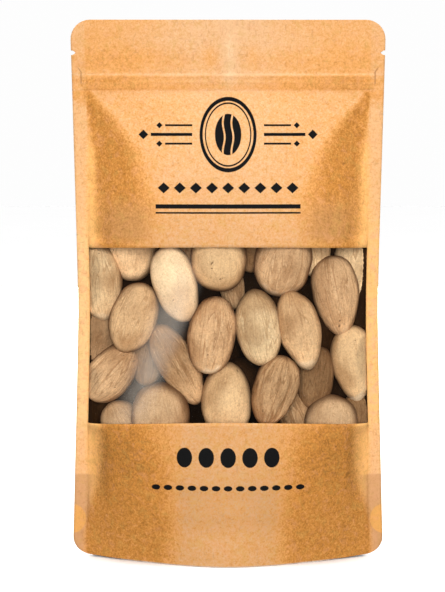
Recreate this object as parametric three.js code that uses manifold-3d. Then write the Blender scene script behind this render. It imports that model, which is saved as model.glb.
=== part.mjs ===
// Stand-up pouch of whole nutmegs.
//
// A kraft paper pouch with flat side seals, a press-to-close strip, tear notches, a gusset
// underneath and a clear window that runs from seal to seal. Three solids: the pouch, the
// film in its window and the heap of nutmegs that shows behind the film.
//
// Millimetres, +Z up, the front faces -Y, the origin is the middle of the foot on the floor.

import * as THREE from "three";
import { mergeVertices } from "three/addons/utils/BufferGeometryUtils.js";
import Module from "manifold-3d";

const { clamp, lerp, smoothstep } = THREE.MathUtils;
const wasm = await Module();
wasm.setup();

// Outline of the flat pouch
const HEIGHT = 190.5;
const WAIST_HEIGHT = 90;
const WAIST_HALF_WIDTH = 52.7;
const WAIST_BLEND = 12;
const UPPER_FLARE = 0.0275;
const LOWER_FLARE = 0.037;
const TOP_CORNER_RADIUS = 5.5;
const FOOT_CORNER_RADIUS = 7.5;
const FOOT_FLAT_HALF = 30;
const FOOT_CORNER_LIFT = 0.9;
const NOTCH_HEIGHT = 179.3;
const NOTCH_HALF = 1;
const NOTCH_DEPTH = 1.7;

// Seals and press-to-close strip
const SEAL = 4.7;
const FLANGE_HALF = 0.4;
const STRIP_BOTTOM = 166.4;
const STRIP_TOP = 171.2;
const STRIP_RELIEF = 0.6;
const STRIP_SLOPE = 0.5;

// Filling out of the two panels
const FOOT_HALF_DEPTH = 19;
const FOOT_TIP = 0.35;
const FULLNESS_POWER = 2.8;
const FULLNESS_ROUND = 0.8;
const PILLOW_POWER = 2.3;
const PILLOW_ROUND = 0.58;
const SHOULDER_ROUND = 0.95;
const SHOULDER_START = 112;
const SHOULDER_END = 150;
const BELLY_START = 46;

// Window and the hollow behind it
const WINDOW_BOTTOM = 48.4;
const WINDOW_BOTTOM_ARCH = 2.4;
const WINDOW_TOP = 110.7;
const WINDOW_TOP_ARCH = 0.8;
const WINDOW_SIDE = 0.5;
const FILM = 0.7;
const GAP = 0.3;
const HOLLOW_BOTTOM = 43;
const HOLLOW_TOP = 117;
const HOLLOW_SIDE = 2.6;
const WALL = 1.2;

// Gusset underneath
const GUSSET_TOP = 29.7;
const GUSSET_SKIN = 0.9;
const GUSSET_SIDE = 1.5;
const GUSSET_RIM = 3.4;
const GUSSET_RIM_TOP = 25;
const PAD_SINK = 0.6;

// Nutmegs
const NUTMEG_SIDES = 10;
const NUTMEG_RINGS = 8;
const NUTMEG_BLUNT = 0.84;
const NUTMEG_TAPER = 0.07;
const NUTMEG_EASE = 0.4;
const NUTMEG_NESTLE = 4;
const CORE_END = 2;
const CORE_SIDE = 9;
const CORE_FRONT = 14;

// Each nutmeg: across, height, width, length, and how far its top leans to the right in
// degrees. The list runs from the film backwards, and each lies against those before it.
const NUTMEGS = [
  [-18.5, 98.5, 14.6, 27, -18],
  [-3, 107, 19, 21, 0],
  [18, 107, 19, 23.5, 10],
  [36.5, 95, 14.6, 28, -12],
  [-33, 87, 16.4, 24.5, 18],
  [-23, 51.5, 20, 25, 6],
  [-19, 71.5, 13.4, 28.5, -27],
  [-6, 81, 16.8, 27.5, 8],
  [10, 83.5, 15.4, 26.8, -9],
  [25, 82.5, 13.2, 27.5, -14],
  [-0.7, 58, 17, 27.5, 0],
  [16.5, 62, 15.8, 24, 15],
  [36, 51, 18, 21.5, 4],
  [41.5, 71.5, 12.5, 26, -4],
  [-41.5, 97.5, 12, 27, 0],
  [-33, 111, 15.8, 23, 0],
  [-38.5, 67.5, 14.6, 21, 50],
  [42, 103, 11.5, 21, 4],
  [30.5, 66, 12.5, 22, 4],
  [30.5, 110, 15, 21, -6],
  [23.5, 53, 13, 22, -8],
  [-28.5, 73, 12, 20, 6],
  [-36.5, 50, 14, 20, -20],
  [1, 95, 14, 22, 20],
  [33, 80, 13, 22, 10],
  [8.5, 111, 14, 20, 0],
  [-14, 110.5, 14, 20, 0],
  [-41, 80, 11, 22, 0],
  [-42, 55, 10, 20, 10],
  [42, 55, 10.5, 20, 0],
];

/** Half the width of the flat pouch at a height. */
function halfWidth(z) {
  const rise = z - WAIST_HEIGHT;
  const flare = rise > 0 ? UPPER_FLARE : LOWER_FLARE;
  return WAIST_HALF_WIDTH + flare * (Math.hypot(rise, WAIST_BLEND) - WAIST_BLEND);
}

/** Half the width between the inner edges of the side seals at a height. */
function seamHalf(z) {
  return halfWidth(z) - SEAL;
}

/** How far the middle of a panel stands out at a height. */
function fullness(z) {
  const up = clamp(z / STRIP_BOTTOM, 0, 1);
  return FOOT_HALF_DEPTH * (1 - up ** FULLNESS_POWER) ** FULLNESS_ROUND;
}

/** The raised band of the press-to-close strip. */
function stripRelief(z) {
  const below = z - STRIP_BOTTOM + STRIP_SLOPE;
  const above = STRIP_TOP + STRIP_SLOPE - z;
  return STRIP_RELIEF * clamp(Math.min(below, above) / STRIP_SLOPE, 0, 1);
}

/** Section of the foot: a lens with nearly straight sides and a soft middle. */
function lens(across) {
  const reach = Math.hypot(1, FOOT_TIP) - FOOT_TIP;
  return 1 - (Math.hypot(across, FOOT_TIP) - FOOT_TIP) / reach;
}

/** Section of the filled panel: a pillow that is blunter at the seals below the shoulders. */
function pillow(across, z) {
  const shoulder = smoothstep(z, SHOULDER_START, SHOULDER_END);
  return (1 - across ** PILLOW_POWER) ** lerp(PILLOW_ROUND, SHOULDER_ROUND, shoulder);
}

/** Distance of a panel from the middle plane. */
function panelDepth(x, z) {
  const across = Math.min(Math.abs(x) / seamHalf(z), 1);
  const belly = smoothstep(z, 0, BELLY_START);
  const section = lerp(lens(across), pillow(across, z), belly);
  return FLANGE_HALF + fullness(z) * section + stripRelief(z);
}

/** A list of evenly spaced heights, without the last one. */
function evenly(from, to, count) {
  return Array.from({ length: count }, (_, i) => lerp(from, to, i / count));
}

/** A geometry with shared vertices and nothing but positions. */
function weld(geometry) {
  geometry.deleteAttribute("normal");
  geometry.deleteAttribute("uv");
  return mergeVertices(geometry);
}

/** A closed geometry as a solid that can be joined and cut. */
function solid(geometry) {
  const welded = weld(geometry);
  return new wasm.Manifold(new wasm.Mesh({
    numProp: 3,
    vertProperties: new Float32Array(welded.attributes.position.array),
    triVerts: new Uint32Array(welded.index.array),
  }));
}

/** A solid as a geometry again. */
function toGeometry(manifold) {
  const mesh = manifold.getMesh();
  const geometry = new THREE.BufferGeometry();
  geometry.setAttribute("position", new THREE.BufferAttribute(mesh.vertProperties, 3));
  geometry.setIndex(new THREE.BufferAttribute(mesh.triVerts, 1));
  geometry.computeVertexNormals();
  return geometry;
}

/**
 * A grid of box faces bent to a form. place(u, v, w) takes across, depth and height from
 * -1 to 1 and returns a point.
 */
function bentBox(columns, layers, rows, place) {
  const box = weld(new THREE.BoxGeometry(2, 2, 2, columns, layers, rows));
  const position = box.attributes.position;
  for (let i = 0; i < position.count; i += 1) {
    const [x, y, z] = place(position.getX(i), position.getY(i), position.getZ(i));
    position.setXYZ(i, x, y, z);
  }
  return solid(box);
}

/** Columns that gather towards both sides, where the panels curve most. */
function gathered(u) {
  return Math.sin(u * Math.PI / 2);
}

/**
 * A slab that follows the panels, between two surfaces set by the depth of the panel. Its
 * bottom and top are functions that give a height at a place across.
 */
function followingSlab({ columns, rows, bottom, top, side, front, back }) {
  return bentBox(columns, 1, rows, (u, v, w) => {
    const across = gathered(u);
    const z = lerp(bottom(across), top(across), (w + 1) / 2);
    const x = across * (seamHalf(z) - side);
    return [x, v < 0 ? front(panelDepth(x, z)) : back(panelDepth(x, z)), z];
  });
}

/** A level edge at a height. */
function level(z) {
  return () => z;
}

/** An edge that rises from a height at the sides to a low arch in the middle. */
function arched(z, arch) {
  return (across) => z + arch * (1 - across ** 2);
}

/** The front view of the pouch as a tall block: waist, round corners and tear notches. */
function outlineBlock() {
  const footX = halfWidth(FOOT_CORNER_RADIUS) - FOOT_CORNER_RADIUS;
  const footZ = FOOT_CORNER_LIFT + FOOT_CORNER_RADIUS;
  const topX = halfWidth(HEIGHT) - TOP_CORNER_RADIUS;
  const topZ = HEIGHT - TOP_CORNER_RADIUS;
  const lift = new THREE.QuadraticBezierCurve(
    new THREE.Vector2(FOOT_FLAT_HALF, 0),
    new THREE.Vector2((FOOT_FLAT_HALF + footX) / 2, 0),
    new THREE.Vector2(footX, FOOT_CORNER_LIFT),
  );
  const footCorner = new THREE.EllipseCurve(
    footX, footZ, FOOT_CORNER_RADIUS, FOOT_CORNER_RADIUS, -Math.PI / 2, 0,
  );
  const topCorner = new THREE.EllipseCurve(
    topX, topZ, TOP_CORNER_RADIUS, TOP_CORNER_RADIUS, 0, Math.PI / 2,
  );
  const below = evenly(footZ, NOTCH_HEIGHT - NOTCH_HALF, 12).slice(1);
  const edge = (z, inset = 0) => new THREE.Vector2(halfWidth(z) - inset, z);
  const right = [
    ...lift.getPoints(4),
    ...footCorner.getPoints(6).slice(1),
    ...below.map((z) => edge(z)),
    edge(NOTCH_HEIGHT - NOTCH_HALF),
    edge(NOTCH_HEIGHT, NOTCH_DEPTH),
    edge(NOTCH_HEIGHT + NOTCH_HALF),
    ...topCorner.getPoints(6),
  ];
  const left = right.map((point) => new THREE.Vector2(-point.x, point.y)).reverse();
  const shape = new THREE.Shape([...right, ...left]);
  const block = new THREE.ExtrudeGeometry(shape, { depth: 80, bevelEnabled: false });
  block.rotateX(Math.PI / 2);
  block.translate(0, 40, 0);
  return solid(block);
}

/** Both panels with their seals, past the outline all round. */
function filledPanels() {
  const heights = [
    ...evenly(-1, 0, 1),
    ...evenly(0, STRIP_BOTTOM - STRIP_SLOPE, 24),
    STRIP_BOTTOM - STRIP_SLOPE,
    STRIP_BOTTOM,
    STRIP_TOP,
    STRIP_TOP + STRIP_SLOPE,
    HEIGHT + 1,
  ];
  const columns = 24;
  const rows = heights.length - 1;
  const seam = 1 - 2 / columns;
  return bentBox(columns, 1, rows, (u, v, w) => {
    const z = heights[Math.round((w + 1) / 2 * rows)];
    const outer = Math.abs(u) > seam + 1e-6;
    const across = outer ? halfWidth(z) + 1 : seamHalf(z) * gathered(Math.abs(u) / seam);
    const x = Math.sign(u) * across;
    return [x, v * panelDepth(x, Math.max(z, 0)), z];
  });
}

/** The space under the gusset: highest at the side seals, with a flat pad in the middle. */
function gussetPocket() {
  return bentBox(20, 10, 2, (u, v, w) => {
    const along = Math.abs(gathered(u));
    const fold = lerp(-PAD_SINK, GUSSET_TOP, smoothstep(along, 0.45, 1));
    const rim = lerp(GUSSET_RIM, GUSSET_RIM_TOP, smoothstep(along, 0.5, 1));
    const roof = lerp(fold, rim, Math.abs(v) ** 3);
    const z = lerp(-2, roof, (w + 1) / 2);
    const x = gathered(u) * (seamHalf(z) - GUSSET_SIDE);
    return [x, v * (panelDepth(x, Math.max(z, 0)) - GUSSET_SKIN), z];
  });
}

/** The hollow behind the window, grown or shrunk by an inset. */
function hollow(inset) {
  return followingSlab({
    columns: 16,
    rows: 6,
    bottom: level(HOLLOW_BOTTOM + inset),
    top: level(HOLLOW_TOP - inset),
    side: HOLLOW_SIDE + inset,
    front: (depth) => WALL + inset - depth,
    back: (depth) => depth - WALL - inset,
  });
}

/** The opening of the window, from well before the front panel into the hollow. */
function windowOpening() {
  return followingSlab({
    columns: 16,
    rows: 5,
    bottom: arched(WINDOW_BOTTOM, WINDOW_BOTTOM_ARCH),
    top: arched(WINDOW_TOP, WINDOW_TOP_ARCH),
    side: WINDOW_SIDE,
    front: (depth) => -depth - 10,
    back: (depth) => -depth / 2,
  });
}

/** The clear film, flush with the front panel. */
function windowFilm() {
  return followingSlab({
    columns: 20,
    rows: 6,
    bottom: arched(WINDOW_BOTTOM + GAP, WINDOW_BOTTOM_ARCH),
    top: arched(WINDOW_TOP - GAP, WINDOW_TOP_ARCH),
    side: WINDOW_SIDE + GAP,
    front: (depth) => -depth,
    back: (depth) => FILM - depth,
  });
}

/** Half the thickness of a nutmeg, front to back, at an offset from its middle. */
function nutmegHalfDepth([, , width, length, lean], dx, dz) {
  const angle = THREE.MathUtils.degToRad(lean);
  const across = (dx * Math.cos(angle) - dz * Math.sin(angle)) / (width / 2);
  const along = (dx * Math.sin(angle) + dz * Math.cos(angle)) / (length / 2);
  return width / 2 * Math.sqrt(Math.max(0, 1 - across ** 2 - along ** 2));
}

/** How far back a nutmeg lies, against the film and nestled into those placed before it. */
function nutmegRest(nutmeg, placed) {
  const [x, z, , length] = nutmeg;
  let rest = -FOOT_HALF_DEPTH;
  for (let ring = 0; ring < 5; ring += 1) {
    for (let turn = 0; turn < 16; turn += 1) {
      const angle = turn * Math.PI / 8;
      const dx = Math.cos(angle) * ring / 10 * length;
      const dz = Math.sin(angle) * ring / 10 * length;
      const half = nutmegHalfDepth(nutmeg, dx, dz);
      if (half === 0) continue;
      const film = WALL + GAP + NUTMEG_EASE - panelDepth(x + dx, z + dz);
      rest = Math.max(rest, film + half);
      for (const other of placed) {
        const offset = [x + dx - other.nutmeg[0], z + dz - other.nutmeg[1]];
        const otherHalf = nutmegHalfDepth(other.nutmeg, ...offset);
        const touching = other.rest + otherHalf + half - NUTMEG_NESTLE;
        if (otherHalf > 0) rest = Math.max(rest, touching);
      }
    }
  }
  return rest;
}

/** One nutmeg: a blunt oval seed, a little narrower at its top end. */
function nutmegSolid([x, z, width, length, lean], rest) {
  const seed = new THREE.SphereGeometry(1, NUTMEG_SIDES, NUTMEG_RINGS);
  seed.rotateX(Math.PI / 2);
  const position = seed.attributes.position;
  for (let i = 0; i < position.count; i += 1) {
    const up = position.getZ(i);
    const ring = Math.sqrt(Math.max(0, 1 - up ** 2));
    const swell = ring > 0.01 ? ring ** (NUTMEG_BLUNT - 1) : 0;
    const radius = width / 2 * swell * (1 - NUTMEG_TAPER * up);
    const along = Math.sign(up) * Math.abs(up) ** NUTMEG_BLUNT * length / 2;
    position.setXYZ(i, position.getX(i) * radius, position.getY(i) * radius, along);
  }
  seed.rotateY(THREE.MathUtils.degToRad(lean));
  seed.translate(x, rest, z);
  return solid(seed);
}

/** The heap: a core with the nutmegs that show fused on, inside the hollow. */
function nutmegHeap() {
  let heap = followingSlab({
    columns: 10,
    rows: 4,
    bottom: level(HOLLOW_BOTTOM + CORE_END),
    top: level(HOLLOW_TOP - CORE_END),
    side: CORE_SIDE,
    front: (depth) => CORE_FRONT - depth,
    back: (depth) => depth - WALL - 1,
  });
  const placed = [];
  for (const nutmeg of NUTMEGS) {
    const rest = nutmegRest(nutmeg, placed);
    placed.push({ nutmeg, rest });
    heap = heap.add(nutmegSolid(nutmeg, rest));
  }
  return heap.intersect(hollow(GAP));
}

function part(name, manifold, look) {
  const mesh = new THREE.Mesh(toGeometry(manifold), new THREE.MeshStandardMaterial(look));
  mesh.name = name;
  return mesh;
}

const pouch = filledPanels()
  .intersect(outlineBlock())
  .subtract(gussetPocket())
  .subtract(hollow(0))
  .subtract(windowOpening());

const group = new THREE.Group();
group.name = "nutmeg_pouch";
group.add(part("pouch", pouch, { color: 0xeebb82, roughness: 0.75, metalness: 0 }));
group.add(part("window_film", windowFilm(), {
  color: 0xf4f6f8, roughness: 0.1, metalness: 0, transparent: true, opacity: 0.25,
}));
group.add(part("nutmegs", nutmegHeap(), { color: 0xc09868, roughness: 0.65, metalness: 0 }));

export default group;
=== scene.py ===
"""A stand-up kraft pouch of whole nutmegs: the looks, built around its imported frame.

The pieces are the paper pouch, the clear film in its window and the nutmegs behind the film.
Metres, +Z up, the front faces -Y, the origin is the middle of the foot on the floor.
"""

import math
import random
from functools import reduce

import bmesh
import bpy
from bpy.props import FloatProperty, FloatVectorProperty, IntProperty, PointerProperty
from bpy.types import Operator, Panel, PropertyGroup
from mathutils import Matrix, Vector, noise


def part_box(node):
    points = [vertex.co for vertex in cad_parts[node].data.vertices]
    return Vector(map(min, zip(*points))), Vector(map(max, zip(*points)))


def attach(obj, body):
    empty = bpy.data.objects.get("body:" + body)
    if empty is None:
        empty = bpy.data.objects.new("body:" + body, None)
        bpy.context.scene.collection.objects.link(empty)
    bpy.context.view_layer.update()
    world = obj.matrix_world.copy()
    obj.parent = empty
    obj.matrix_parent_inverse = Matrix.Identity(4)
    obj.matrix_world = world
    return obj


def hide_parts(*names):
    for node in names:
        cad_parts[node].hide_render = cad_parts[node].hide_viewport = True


bl_info = {
    "name": "Nutmeg pouch",
    "version": (1, 0, 0),
    "blender": (4, 5, 0),
    "location": "3D View > Sidebar > Pouch",
    "description": "Builds a kraft stand-up pouch of whole nutmegs around its packed frame",
    "category": "Add Mesh",
}

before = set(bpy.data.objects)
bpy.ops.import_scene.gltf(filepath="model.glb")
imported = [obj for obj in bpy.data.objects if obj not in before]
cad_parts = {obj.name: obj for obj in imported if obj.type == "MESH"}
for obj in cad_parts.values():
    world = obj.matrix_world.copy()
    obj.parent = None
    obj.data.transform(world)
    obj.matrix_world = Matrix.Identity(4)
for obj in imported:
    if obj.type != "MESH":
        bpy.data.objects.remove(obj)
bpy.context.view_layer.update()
POUCH_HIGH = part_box("pouch")[1]
MM = 0.001

# Outline of the flat pouch
WAIST_HEIGHT = 90 * MM
WAIST_BLEND = 12 * MM
UPPER_FLARE = 0.0245
LOWER_FLARE = 0.030
TOP_CORNER = 7 * MM
FOOT_CORNER = 6.5 * MM
FOOT_FLAT = 30 * MM
FOOT_LIFT = 0.9 * MM
NOTCH_HEIGHT = 179 * MM
NOTCH_HALF = 0.85 * MM
NOTCH_DEPTH = 1.55 * MM
SEAL_CHANGE = 30 * MM

# Filling out of the panels
FLANGE_HALF = 0.35 * MM
FOOT_TIP = 0.35
FULLNESS_POWER = 2.8
FULLNESS_ROUND = 0.8
PILLOW_POWER = 2.3
PILLOW_ROUND = 0.58
SHOULDER_ROUND = 0.95
SHOULDER_START = 112 * MM
SHOULDER_END = 150 * MM
BELLY_START = 46 * MM
# Beside its seals the front starts gently between the first heights, except between the second
GENTLE_START = 0.35
GENTLE_WIDTH = 9 * MM
GENTLE_HEIGHTS = (14 * MM, 26 * MM, 140 * MM, 156 * MM)
FULL_HEIGHTS = (43.5 * MM, 48 * MM, 111.5 * MM, 116 * MM)

# Window, the hollow behind it and the film
WINDOW_BOTTOM_ARCH = 2.4 * MM
WINDOW_TOP_ARCH = 0.8 * MM
WINDOW_SIDE = 0.2 * MM
WINDOW_SEAL = 4.1 * MM
PAPER = 0.25 * MM
HOLLOW_BOTTOM = 35.5 * MM
HOLLOW_TOP = 117 * MM
HOLLOW_SIDE = 1.4 * MM
HOLLOW_END = 0.25 * MM
HOLLOW_MARGIN = 0.8 * MM
TIP_DEPTH = 0.05 * MM
WALL = 1.2 * MM
FILM_DEPTH = 0.3 * MM
FILM_THICK = 0.12 * MM
FILM_TUCK = 1.4 * MM
FILM_SIDE = 0.35 * MM

# Steps of the paper's grid between its knots, which spans hold the window, and where the
# grid's box counts as a panel
ROW_STEPS = (9, 20, 20, 66, 54, 24, 7, 8, 4, 8)
COLUMN_STEPS = (5, 1, 112, 1, 5)
WINDOW_ROWS = 3
WINDOW_COLUMNS = 2
ON_PANEL = 0.999

# Gusset underneath
GUSSET_TOP = 29.7 * MM
GUSSET_RIM = 3.4 * MM
GUSSET_RIM_TOP = 25 * MM
GUSSET_SKIN = 0.5 * MM
PAD_HEIGHT = 0.3 * MM
SKIRT_SHARE = 0.12
THINNEST = 0.02 * MM

# Press-to-close strip: its band, the ridges under its upper edge (how far down, size, width),
# the groove under it, the short creases across it and the crushed ends
STRIP_RELIEF = 0.45 * MM
STRIP_SLOPE = 0.5 * MM
STRIP_RIDGES = ((0.5 * MM, 0.2 * MM, 0.55 * MM), (2.5 * MM, 0.2 * MM, 0.5 * MM))
GROOVE_RELIEF = 0.26 * MM
TICK_ACROSS = 36.5 * MM
TICK_LEFT = 0.22 * MM
TICK_RIGHT = 0.12 * MM
CRUSH_RELIEF = 0.35 * MM

# Slack of the filled paper
RIDGE_RELIEF = 0.75 * MM
HOLLOW_RELIEF = 0.5 * MM
PUCKER_RELIEF = 0.42 * MM
BROAD_RELIEF = 0.55 * MM
SMALL_RELIEF = 0.17 * MM
FOOT_RELIEF = 0.4 * MM
# Upright creases of the flat top: place across, width and share
SWAY_RELIEF = 0.9 * MM
CREASE_RELIEF = 0.45 * MM
TOP_CREASES = ((1.2 * MM, 3.2 * MM, 1), (-7 * MM, 3.5 * MM, -0.6), (9 * MM, 3.5 * MM, -0.6))

# Heights between which the front beside its seals takes painted light where it turns steeply away
STEEP_HEIGHTS = (16 * MM, 34 * MM, 126 * MM, 142 * MM)
# Painted highlight and shade on the flat top, in millimetres: across, height, half width,
# half height, and how much deeper
TOP_MARKS = ((0.6, 177, 2.4, 9, -0.5), (-6.5, 178, 2.4, 5, 0.2), (8.5, 178, 2.4, 5, 0.2))

# Depths between which all that is on the front alone fades out, and heights between which the
# paper changes to that of the flat top, in millimetres
FRONT = (-1.5, -1)
FLAT_TOP = (158, 166)

# Print on the front, in millimetres: heights over the floor and half sizes
INK_EDGE = 0.09
BADGE_HEIGHT = 150.5
BADGE_RINGS = ((9.4, 12.4, 0.55), (7.9, 10.9, 0.22))
BADGE_SEED = (4.6, 7.2)
GROOVES = (1.5, -1.5)
GROOVE_HALF = 0.3
GROOVE_WAVES = 0.62
GROOVE_SWING = 0.35
DIAMOND_SLOPE = 0.7
# Each wing: its height, the start, end and half height of its bar, and its tip's place and size
WINGS = (
    (150.5, 12.5, 27, 0.55, 29.6, 1.7), (153.7, 12.5, 22, 0.35, 24, 1.1),
    (147.3, 12.5, 22, 0.35, 24, 1.1),
)
# Each row: spacing, height, half width and half height of a shape, and how far the row reaches
LOZENGE_ROW = (5.6, 132, (2.1, 1.9), 25.2)
SEED_ROW = (7.6, 38.6, (2.7, 3.5), 19)
DASH_ROW = (4.2, 27.8, (1.5, 0.95), 27.3)
# Each rule: height, half width and half height
RULES = ((125.6, 25.2, 0.75), (123.4, 25.2, 0.3))

# Creases at the strip's ends, round tack marks on the seals and the painted glare on the film,
# in millimetres
CREASE_ACROSS = 51.6
CREASE_BEND = 172.3
TACK_ACROSS = 55.6
TACK_HEIGHT = 13.6
TACK_HALF_WIDTH = 4.9
TACK_HALF_HEIGHT = 5.3
GLARE_ACROSS = -25
GLARE_HEIGHT = 76
GLARE_HALF_WIDTH = 8.5
GLARE_REACH = 38

# Colours that are laid over the paper. Among them are painted light and shade: a highlight on the
# flat top, shade at the seal's edge, light where the paper turns steeply away, shade over the
# window's sides and shade in the strip's creases
PAPER_TONES = {
    "top highlight": (0.66, 0.46, 0.28),
    "seal edge shade": (0.80, 0.42, 0.13),
    "steep_light": (0.88, 0.455, 0.15),
    "left": (0.67, 0.45, 0.2),
    "right": (0.68, 0.40, 0.135),
    "gusset": (0.445, 0.225, 0.1),
    "gusset foot": (0.43, 0.205, 0.088),
    "shade over window": (0.368, 0.187, 0.072),
    "tack": (0.60, 0.285, 0.075),
    "foot edge": (0.43, 0.39, 0.35),
    "fibre": (0.26, 0.12, 0.04),
    "ochre": (0.46, 0.27, 0.075),
    "rust": (0.56, 0.27, 0.135),
    "crease": (0.27, 0.13, 0.05),
}
# What a nutmeg's tone is multiplied by where it is pale, dark, lit by a painted glint and out of
# the light
SEED_PALE = (1.12, 1.14, 1.16)
SEED_DARK = (0.48, 0.37, 0.28)
SEED_GLINT = (1.3, 1.45, 1.6)
SEED_SHADE = (0.12, 0.055, 0.022)
# Colours of its pits and of a pale lower end, and how little the dull surfaces mirror
SEED_PIT = (0.10, 0.05, 0.025)
SEED_TIP = (0.88, 0.67, 0.43)
DULL = 0.03

# Studio
BACKDROP_STRENGTH = 0.985
LIT_POINT = Vector((0, 0, 0.1))
AREA_LIGHTS = {"key_light": (0.03, -1.1, 0.32), "back_light": (-0.03, 1.1, 0.32)}
AREA_SIZE = 0.7
OVERHEAD_PLACE = (0, 0, 2)
OVERHEAD_ANGLE = math.radians(20)
SENSOR = 36

# Where the flat middle of a panel folds over to its side, and how softly, for the paper's ridge
# and for its painted shade: height, distance from the middle and half the width of the change
FOLDS = [
    (166, 48.5, 0.6), (162, 46, 1.6), (156, 40.5, 3), (150, 36.5, 4), (144, 33, 5),
    (138, 31, 6), (128, 28, 8), (122, 28.5, 9), (116, 31, 10), (108, 35, 11), (96, 37, 12),
    (84, 37, 13), (70, 34, 14), (52, 29, 14), (44, 24, 12), (37, 22.5, 10), (27, 20.5, 6),
    (14, 19.5, 5), (0, 20, 5),
]

# How far inside the seam the paper takes the pale colour of the seal, and over how much width
# it does so: height, distance, half the width of the change
SEAL_FADE = [
    (160, 0.2, 0.5), (152, 0.8, 1.6), (141, 1.3, 3.0), (127, 1.1, 3.2), (44, 2.6, 4.2),
    (35, 2.6, 4.0), (27, 1.9, 3.4), (12, -0.9, 1.6), (0, -1.0, 1.6),
]

# Each nutmeg: across, height, width, length, lean of its top to the right in degrees, taper
# towards its top, how pointed its lower end is, tone, how pale its lower end is, and the
# direction in which it darkens, in degrees from the right, partly its own tone and partly painted
# shade. The list runs from the film backwards, and each lies against those before it.
NUTMEGS = [
    (-18.6, 98, 15.2, 28, -18, -0.1, 0.92, "cream"),
    (-3.4, 106.2, 19.6, 21.8, 0, 0, 0.92, "straw", 0, -85),
    (19.3, 105.6, 20, 24.4, 12, 0.08, 0.92, "rose", 0.5, 30),
    (38.2, 93.4, 16.4, 28.9, -10, -0.19, 0.98, "tan", 0.3, 180),
    (-33.2, 86, 16.8, 25, 18, 0, 0.95, "apricot"),
    (-23.8, 50.6, 20.5, 25.5, 0, 0, 0.95, "fawn", 0, -30),
    (-17.8, 69.2, 14, 31, -29, -0.12, 0.95, "brown", 0, 150),
    (-5.8, 80.2, 17.2, 27.8, 8, 0.02, 0.92, "tan", 0.9, 170),
    (10.6, 82.6, 16.2, 27, -8, 0, 0.97, "olive", 0, 130),
    (25.1, 81.8, 15.2, 29.2, -14, -0.05, 1.15, "apricot", 0.6, 130),
    (-0.6, 55.8, 17.6, 28, 0, 0.03, 0.9, "straw", 0, 160),
    (16.3, 60.7, 15.4, 25.2, 17, -0.12, 0.92, "brown", 0, 190),
    (36.6, 48, 18.8, 20.5, 4, 0, 0.95, "fawn", 0, 180),
    (44.7, 69.3, 16, 28, -6, -0.12, 1.15, "straw", 0.9, 180),
    (-45.2, 97.4, 15.8, 27, -4, -0.2, 0.92, "wheat", 0.4, 0),
    (-34, 110, 18.4, 23, 0, 0, 0.92, "ivory"),
    (-41.6, 65.8, 15.8, 24.4, 40, 0, 0.92, "rose", 0, 20),
    (43.9, 103.3, 13, 25.6, 3, 0, 0.95, "wheat"),
    (31, 64, 13.5, 23, 6, 0, 0.95, "umber"),
    (30, 110, 13, 21, -6, 0, 0.95, "wheat"),
    (24.8, 49.6, 13.6, 23, -20, 0, 0.95, "brown"),
    (-28.5, 72.4, 12.5, 23, 6, 0, 0.95, "umber"),
    (-37, 46.6, 15, 19, -30, 0, 0.95, "fawn"),
    (1.3, 97, 9, 17, -10, 0, 0.95, "bark"),
    (33, 80, 13, 22, 10, 0, 0.95, "shadowed"),
    (8.5, 111, 14, 20, 0, 0, 0.95, "umber"),
    (-14, 110.5, 14, 20, 0, 0, 0.95, "umber"),
    (-46, 80, 15, 26, 12, 0, 0.95, "bark"),
    (-44.5, 54, 11, 20, 10, 0, 0.95, "shadowed"),
    (46, 50.5, 11, 16, 0, 0, 0.95, "umber"),
    (46, 88, 9, 22, 0, 0, 0.95, "shadowed"),
]
# Nutmegs that lie across just below the window's lower edge, against the film
LOW_NUTMEGS = [
    (-35, 42.2, 12.6, 17, 76, 0, 0.95, "brown"),
    (-6, 42.8, 13, 23, 84, 0, 0.95, "tan"),
    (16, 42.8, 13, 21, 96, 0, 0.95, "fawn"),
    (37, 42.2, 12, 16, 80, 0, 0.95, "brown"),
]
# Colour of each tone and how strongly it is furrowed. The nearly black tone is painted shade for
# the nutmegs deep in the gaps
TONES = {
    "cream": ((0.725, 0.52, 0.305), 0.12),
    "ivory": ((0.67, 0.435, 0.232), 0.6),
    "wheat": ((0.57, 0.385, 0.206), 0.8),
    "straw": ((0.53, 0.345, 0.176), 0.4),
    "apricot": ((0.502, 0.315, 0.16), 0.8),
    "olive": ((0.515, 0.364, 0.2), 0.9),
    "fawn": ((0.42, 0.268, 0.142), 0.45),
    "tan": ((0.48, 0.29, 0.147), 0.95),
    "rose": ((0.46, 0.281, 0.144), 0.95),
    "brown": ((0.37, 0.22, 0.107), 1.1),
    "bark": ((0.298, 0.177, 0.088), 1.0),
    "umber": ((0.195, 0.106, 0.047), 0.9),
    "shadowed": ((0.02, 0.008, 0.002), 0.9),
}
# How far a nutmeg stays behind the panel, how far one may sink into its neighbour, how pointed
# an upper end is, lumps in millimetres and share, and the lightest red of a tone
NUTMEG_GAP = 1.3 * MM
NUTMEG_NESTLE = 5.5 * MM
UPPER_POINT = 0.86
LUMPS = ((11, 0.065), (5, 0.026))
BRIGHTEST = 0.87
# Rings and turns of the spots where a nutmeg is laid against the others
SETTLE_RINGS = 5
SETTLE_TURNS = 16
# How finely the low and the hidden nutmegs are made, and how the hidden ones are set out
LOW_DETAIL = 4
HIDDEN_DETAIL = 3
HIDDEN_ROWS = 6
HIDDEN_COLUMNS = 7
HIDDEN_PITCH = 13
HIDDEN_LOWEST = 49
HIDDEN_REACH = 40
# What is stored on every point of a nutmeg
NUTMEG_LAYERS = {
    "seed_place": "float_vector", "seed_tone_and_light": "float_color", "furrow": "float",
    "seed_pale": "float", "seed_tip": "float", "light_inside": "float",
}


def length(name, description, default, **limits):
    """A size that the sidebar offers."""
    return FloatProperty(
        name=name, description=description, default=default, unit="LENGTH", **limits
    )


def colour(name, description, default):
    """A colour that the sidebar offers."""
    return FloatVectorProperty(
        name=name, description=description, default=default,
        subtype="COLOR", size=3, min=0, max=1,
    )


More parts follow.
